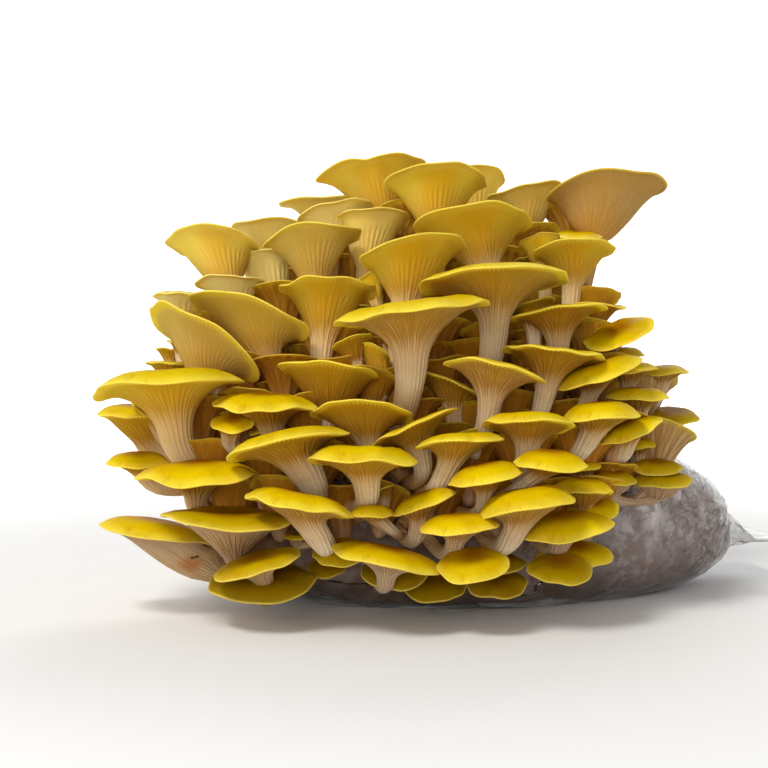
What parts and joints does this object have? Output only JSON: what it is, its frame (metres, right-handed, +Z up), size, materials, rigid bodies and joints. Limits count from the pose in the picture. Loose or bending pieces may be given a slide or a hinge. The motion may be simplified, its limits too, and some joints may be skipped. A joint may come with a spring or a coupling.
{
  "type": "oyster mushroom grow bag",
  "caption": "Dense cluster of golden oyster mushrooms growing from a cut in a clear film grow bag that lies on its side.",
  "frame": {"origin": "on the flat underside of the bag, 8 mm to the left of the middle of the block", "axes": "+Z up, -Y towards the front of the cluster, +X to the right, towards the bag's sealed end"},
  "size_m": [0.297, 0.2068, 0.1903],
  "materials": {
    "film": "clear, thin, crinkled",
    "block": "sawdust grown through with pale mycelium",
    "flesh": "soft, matt, golden yellow above and pale ochre below"
  },
  "bodies": {
    "root": {"bag_film": "film", "bunch_bottom_02": "flesh", "bunch_bottom_04": "flesh", "bunch_bottom_08": "flesh", "bunch_centre_01": "flesh", "bunch_centre_03": "flesh", "bunch_centre_06": "flesh", "bunch_left_02": "flesh", "bunch_left_05": "flesh", "bunch_middle_06": "flesh", "bunch_right_02": "flesh", "bunch_right_04": "flesh", "bunch_right_06": "flesh", "bunch_right_10": "flesh", "bunch_right_11": "flesh", "bunch_right_17": "flesh", "bunch_right_21": "flesh", "bunch_right_25": "flesh", "bunch_right_34": "flesh", "bunch_top_01": "flesh", "bunch_top_02": "flesh", "bunch_top_04": "flesh", "bunch_top_10": "flesh", "bunch_top_14": "flesh", "bunch_top_15": "flesh", "bunch_top_19": "flesh", "bunch_top_20": "flesh", "mushroom_bottom_01": "flesh", "mushroom_centre_04": "flesh", "mushroom_centre_05": "flesh", "mushroom_centre_07": "flesh", "mushroom_centre_08": "flesh", "mushroom_left_01": "flesh", "mushroom_left_04": "flesh", "mushroom_left_06": "flesh", "mushroom_middle_01": "flesh", "mushroom_middle_02": "flesh", "mushroom_middle_03": "flesh", "mushroom_middle_04": "flesh", "mushroom_middle_05": "flesh", "mushroom_right_01": "flesh", "mushroom_right_03": "flesh", "mushroom_right_12": "flesh", "mushroom_right_14": "flesh", "mushroom_right_15": "flesh", "mushroom_right_16": "flesh", "mushroom_right_20": "flesh", "mushroom_top_06": "flesh", "mushroom_top_16": "flesh", "substrate_block": "block"}
  },
  "joints": []
}
